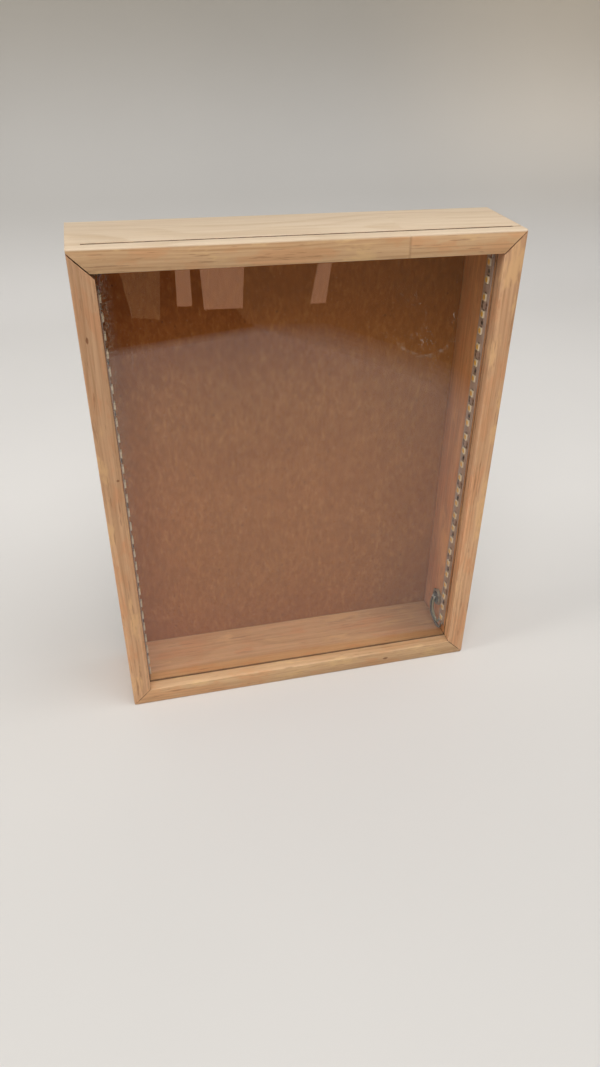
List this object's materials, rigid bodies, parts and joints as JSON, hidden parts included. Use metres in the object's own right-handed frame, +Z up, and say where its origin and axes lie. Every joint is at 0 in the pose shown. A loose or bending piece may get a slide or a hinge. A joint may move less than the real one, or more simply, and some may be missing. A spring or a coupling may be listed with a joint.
{
  "type": "shadow box",
  "caption": "Shallow mitred pine display case with a lift-out clear front pane, a hardboard back, LED strip inside the side and top walls, and a barrel jack low on the right side.",
  "frame": {"origin": "on the underside of the bottom board, midway across its width and midway front to back", "axes": "+X to the viewer's right, -Y out of the glazed front, +Y out of the back, +Z up along the height"},
  "size_m": [0.2053, 0.0466, 0.254],
  "materials": {
    "pine": "bare sanded pine, pale yellow to reddish tan",
    "hardboard": "smooth brown hardboard, matt",
    "clear_pane": "clear and glossy with light scuffs",
    "led_strip": "white flexible tape with cream LED packages",
    "wire_red": "red insulation",
    "wire_black": "black insulation",
    "wire_ivory": "off-white insulation",
    "jack_plastic": "black moulded plastic",
    "plated_metal": "bright plating",
    "steel_brad": "plain steel"
  },
  "bodies": {
    "case": {"board_top": "pine", "board_bottom": "pine", "board_left": "pine", "board_right": "pine", "back_panel": "hardboard", "led_strip_right": "led_strip", "led_strip_top": "led_strip", "led_strip_left": "led_strip", "jumper_right_positive": "wire_red", "jumper_right_negative": "wire_black", "jumper_left_positive": "wire_red", "jumper_left_negative": "wire_black", "lead_positive": "wire_ivory", "lead_negative": "wire_black", "jack_housing": "jack_plastic", "jack_pin": "plated_metal", "jack_contact": "plated_metal", "jack_nut": "plated_metal", "brad_top_left_front": "steel_brad", "brad_top_left_rear": "steel_brad", "brad_top_right_front": "steel_brad", "brad_top_right_rear": "steel_brad", "brad_bottom_left_front": "steel_brad", "brad_bottom_left_rear": "steel_brad", "brad_bottom_right_front": "steel_brad", "brad_bottom_right_rear": "steel_brad", "brad_panel_left_lower": "steel_brad", "brad_panel_left_upper": "steel_brad", "brad_panel_right_lower": "steel_brad", "brad_panel_right_upper": "steel_brad", "brad_panel_bottom_left": "steel_brad", "brad_panel_bottom_right": "steel_brad", "brad_panel_top_left": "steel_brad", "brad_panel_top_right": "steel_brad"},
    "pane": {"front_pane": "clear_pane"}
  },
  "joints": [
    {"name": "pane_slide", "type": "slide", "parent": "case", "child": "pane", "axis": [0, 0, 1], "range_m": [0, 0.25]}
  ]
}
